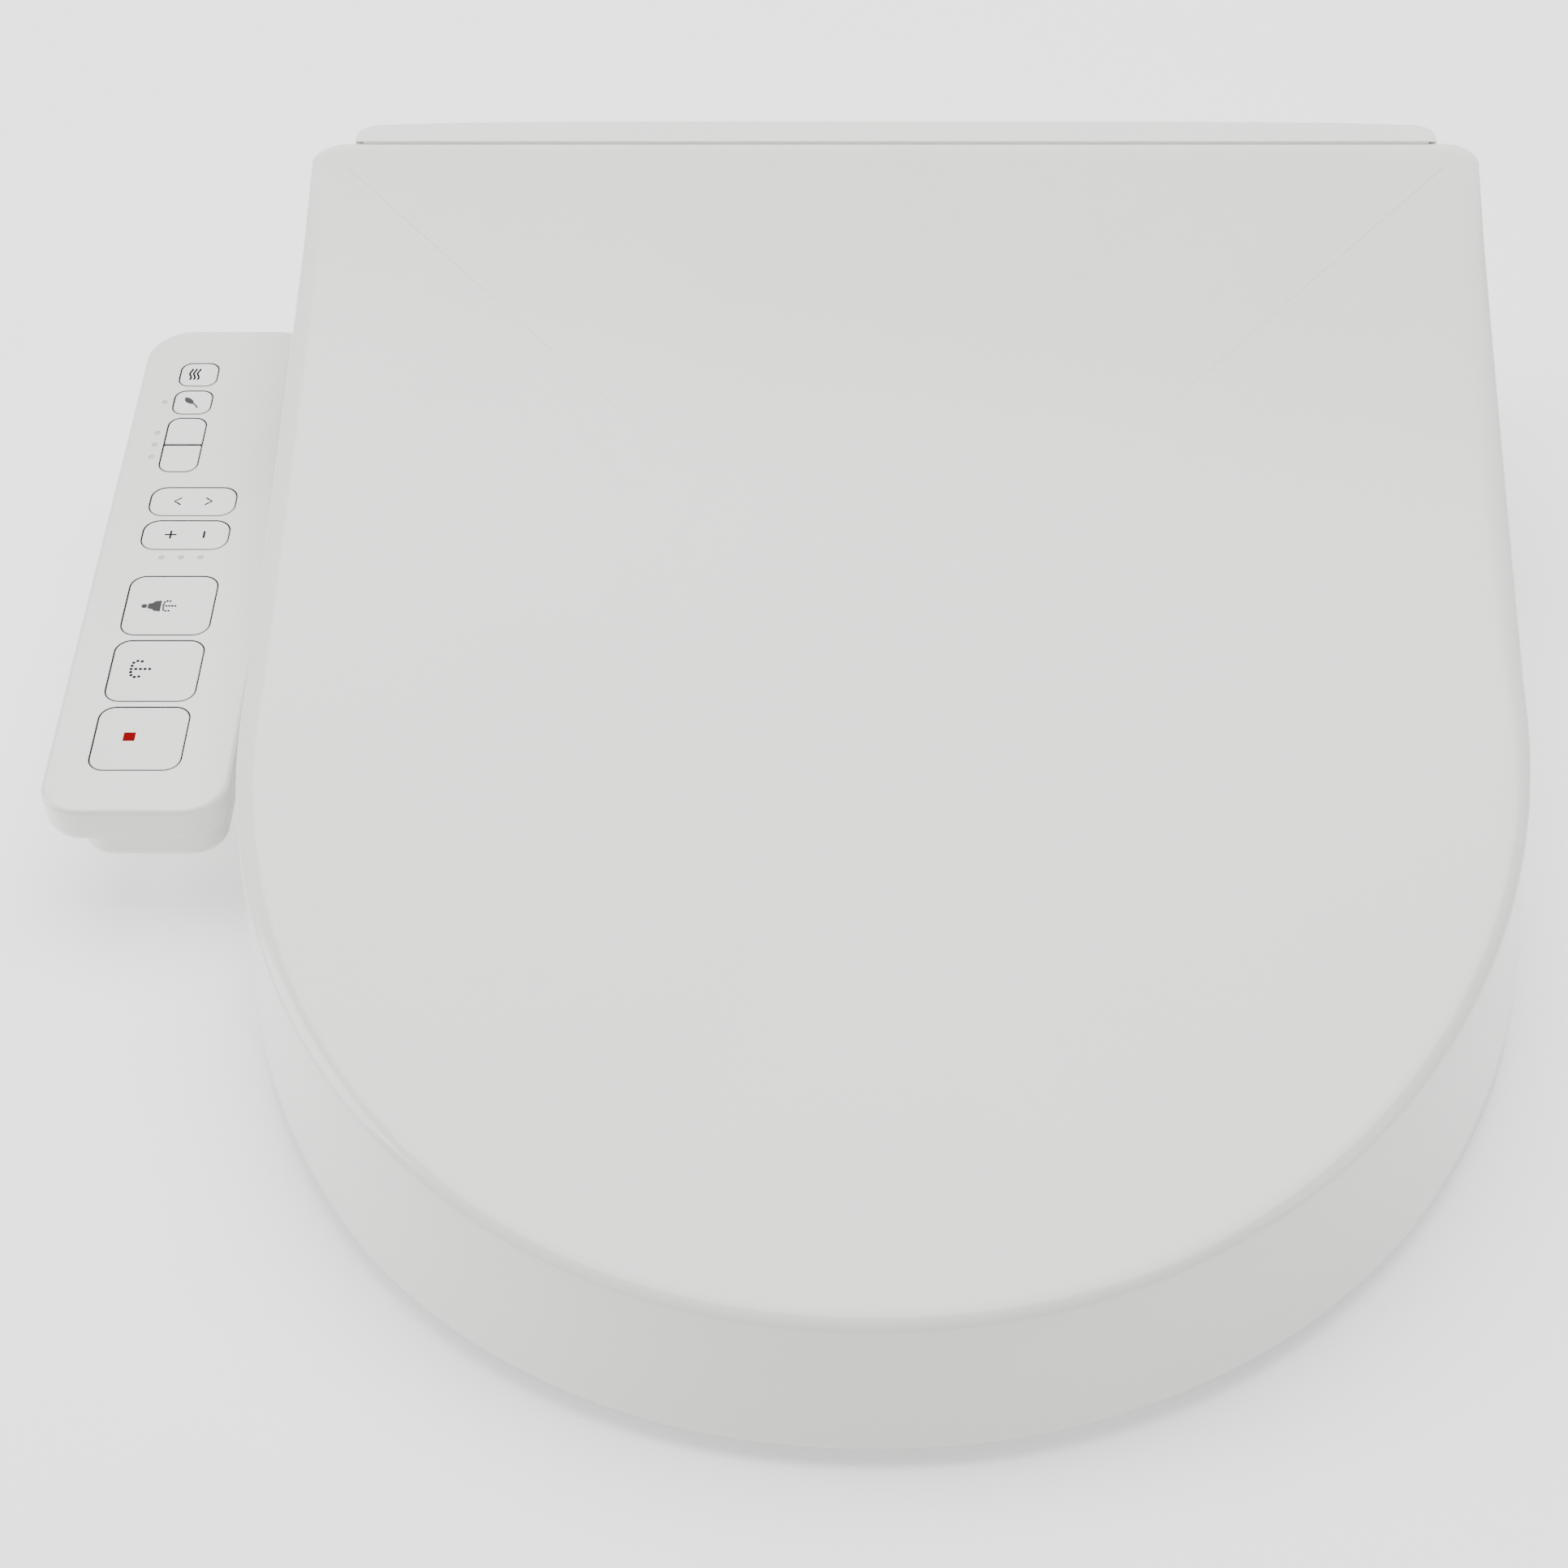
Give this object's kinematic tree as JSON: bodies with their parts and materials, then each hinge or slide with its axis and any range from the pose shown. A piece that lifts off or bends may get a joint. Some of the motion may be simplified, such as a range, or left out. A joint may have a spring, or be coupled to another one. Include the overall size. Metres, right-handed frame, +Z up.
{
  "type": "electric bidet seat",
  "caption": "Electric bidet seat: full-cover lid over a heated elongated seat ring, rear housing with sliding nozzles, and a side control panel.",
  "frame": {"origin": "midway between the two bowl-bolt slots, on the plane of the bowl's rim, which is the underside of the mounting bracket", "axes": "+Z up out of the bowl's rim; -Y towards the rounded front; the control panel is on -X"},
  "size_m": [0.474, 0.519, 0.1197],
  "materials": {
    "shell_white": "smooth gloss",
    "key_white": "smooth gloss",
    "base_grey": "fine grain",
    "valve_white": "satin",
    "nozzle_plastic": "satin",
    "dark_plastic": "satin",
    "rubber": "matte",
    "steel": "satin",
    "hose": "satin",
    "board_green": "satin",
    "power_yellow": "satin",
    "heater_foil": "matte",
    "lens": "frosted"
  },
  "bodies": {
    "housing": {"base_plate": "base_grey", "upper_case": "shell_white", "case_screws": "steel", "housing_pads": "rubber", "mounting_bracket": "base_grey", "lid_damper": "dark_plastic", "release_spring": "steel", "water_inlet": "valve_white", "inlet_valve": "valve_white", "inlet_hose": "hose", "flow_selector": "valve_white", "nozzle_hoses": "hose", "water_tank": "valve_white", "tank_heater": "steel", "nozzle_cradle": "base_grey", "nozzle_guard": "shell_white", "nozzle_motors": "dark_plastic", "fan_housing": "base_grey", "fan_motor": "dark_plastic", "main_board": "board_green", "power_module": "power_yellow", "cord_gland": "dark_plastic", "panel_top": "shell_white", "panel_base": "shell_white", "panel_board": "board_green", "key_mat": "rubber", "led_lenses": "lens", "panel_screws": "steel"},
    "seat": {"seat_top": "shell_white", "seat_bottom": "shell_white", "seat_heater": "heater_foil", "seat_bumpers": "rubber", "seat_hinge_pins": "steel", "seat_damper": "dark_plastic", "seat_sensor": "board_green", "seat_screws": "steel"},
    "lid_pin": {"lid_hinge_pins": "steel"},
    "lid": {"lid_shell": "shell_white", "lid_bumpers": "rubber"},
    "wash_nozzle_body": {"wash_nozzle": "nozzle_plastic", "wash_rack": "nozzle_plastic", "wash_cap": "shell_white"},
    "bidet_nozzle_body": {"bidet_nozzle": "nozzle_plastic", "bidet_rack": "nozzle_plastic", "bidet_cap": "shell_white"},
    "wash_pinion_body": {"wash_pinion": "nozzle_plastic"},
    "bidet_pinion_body": {"bidet_pinion": "nozzle_plastic"},
    "fan_body": {"deodoriser_fan": "dark_plastic"},
    "filter_body": {"carbon_filter": "shell_white"},
    "release_body": {"release_button": "shell_white"},
    "stop_key_body": {"stop_key": "key_white"},
    "wash_key_body": {"wash_key": "key_white"},
    "bidet_key_body": {"bidet_key": "key_white"},
    "strength_rocker_body": {"strength_rocker": "key_white"},
    "position_rocker_body": {"position_rocker": "key_white"},
    "water_key_body": {"water_key": "key_white"},
    "seat_key_body": {"seat_key": "key_white"},
    "eco_key_body": {"eco_key": "key_white"},
    "massage_key_body": {"massage_key": "key_white"}
  },
  "joints": [
    {"name": "seat_hinge", "type": "hinge", "parent": "housing", "child": "seat", "pos_m": [0, -0.075, 0.04], "axis": [-1, 0, 0], "range_deg": [0, 92]},
    {"name": "lid_pin_turn", "type": "hinge", "parent": "housing", "child": "lid_pin", "pos_m": [0, 0.018, 0.104], "axis": [-1, 0, 0], "range_deg": [0, 100]},
    {"name": "lid_hinge", "type": "hinge", "parent": "lid_pin", "child": "lid", "pos_m": [0, 0.018, 0.104], "axis": [1, 0, 0], "range_deg": [-100, 0]},
    {"name": "wash_nozzle_slide", "type": "slide", "parent": "housing", "child": "wash_nozzle_body", "axis": [0, -0.866, -0.5], "range_m": [0, 0.08]},
    {"name": "wash_pinion_spin", "type": "hinge", "parent": "housing", "child": "wash_pinion_body", "pos_m": [-0.014, -0.03612, 0.05073], "axis": [-1, 0, 0], "range_deg": [0, 660]},
    {"name": "bidet_nozzle_slide", "type": "slide", "parent": "housing", "child": "bidet_nozzle_body", "axis": [0, -0.866, -0.5], "range_m": [0, 0.08]},
    {"name": "bidet_pinion_spin", "type": "hinge", "parent": "housing", "child": "bidet_pinion_body", "pos_m": [0.014, -0.03612, 0.05073], "axis": [-1, 0, 0], "range_deg": [0, 660]},
    {"name": "fan_spin", "type": "hinge", "parent": "housing", "child": "fan_body", "pos_m": [0.158, -0.028, 0.058], "axis": [1, 0, 0], "continuous": true},
    {"name": "filter_slide", "type": "slide", "parent": "housing", "child": "filter_body", "axis": [1, 0, 0], "range_m": [0, 0.045]},
    {"name": "release_press", "type": "slide", "parent": "housing", "child": "release_body", "axis": [-1, 0, 0], "range_m": [0, 0.004], "stiffness_N_per_m": 1500, "deforming": ["release_spring"]},
    {"name": "stop_key_press", "type": "slide", "parent": "housing", "child": "stop_key_body", "axis": [0, 0.0924, -0.9957], "range_m": [0, 0.0006], "stiffness_N_per_m": 1500},
    {"name": "wash_key_press", "type": "slide", "parent": "housing", "child": "wash_key_body", "axis": [0, 0.0924, -0.9957], "range_m": [0, 0.0006], "stiffness_N_per_m": 1500},
    {"name": "bidet_key_press", "type": "slide", "parent": "housing", "child": "bidet_key_body", "axis": [0, 0.0924, -0.9957], "range_m": [0, 0.0006], "stiffness_N_per_m": 1500},
    {"name": "strength_rocker_tilt", "type": "hinge", "parent": "housing", "child": "strength_rocker_body", "pos_m": [-0.23705, -0.11907, 0.05545], "axis": [0, 0.9957, 0.0924], "range_deg": [-2, 2], "stiffness_Nm_per_rad": 0.3},
    {"name": "position_rocker_tilt", "type": "hinge", "parent": "housing", "child": "position_rocker_body", "pos_m": [-0.23705, -0.10214, 0.05702], "axis": [0, 0.9957, 0.0924], "range_deg": [-2, 2], "stiffness_Nm_per_rad": 0.3},
    {"name": "water_key_press", "type": "slide", "parent": "housing", "child": "water_key_body", "axis": [0, 0.0924, -0.9957], "range_m": [0, 0.0006], "stiffness_N_per_m": 1500},
    {"name": "seat_key_press", "type": "slide", "parent": "housing", "child": "seat_key_body", "axis": [0, 0.0924, -0.9957], "range_m": [0, 0.0006], "stiffness_N_per_m": 1500},
    {"name": "eco_key_press", "type": "slide", "parent": "housing", "child": "eco_key_body", "axis": [0, 0.0924, -0.9957], "range_m": [0, 0.0006], "stiffness_N_per_m": 1500},
    {"name": "massage_key_press", "type": "slide", "parent": "housing", "child": "massage_key_body", "axis": [0, 0.0924, -0.9957], "range_m": [0, 0.0006], "stiffness_N_per_m": 1500}
  ],
  "couplings": [
    {"joint": "lid_pin_turn", "follows": "seat_hinge", "ratio": 1.0869},
    {"joint": "wash_pinion_spin", "follows": "wash_nozzle_slide", "rad_per_m": 142.86},
    {"joint": "bidet_pinion_spin", "follows": "bidet_nozzle_slide", "rad_per_m": 142.86}
  ]
}
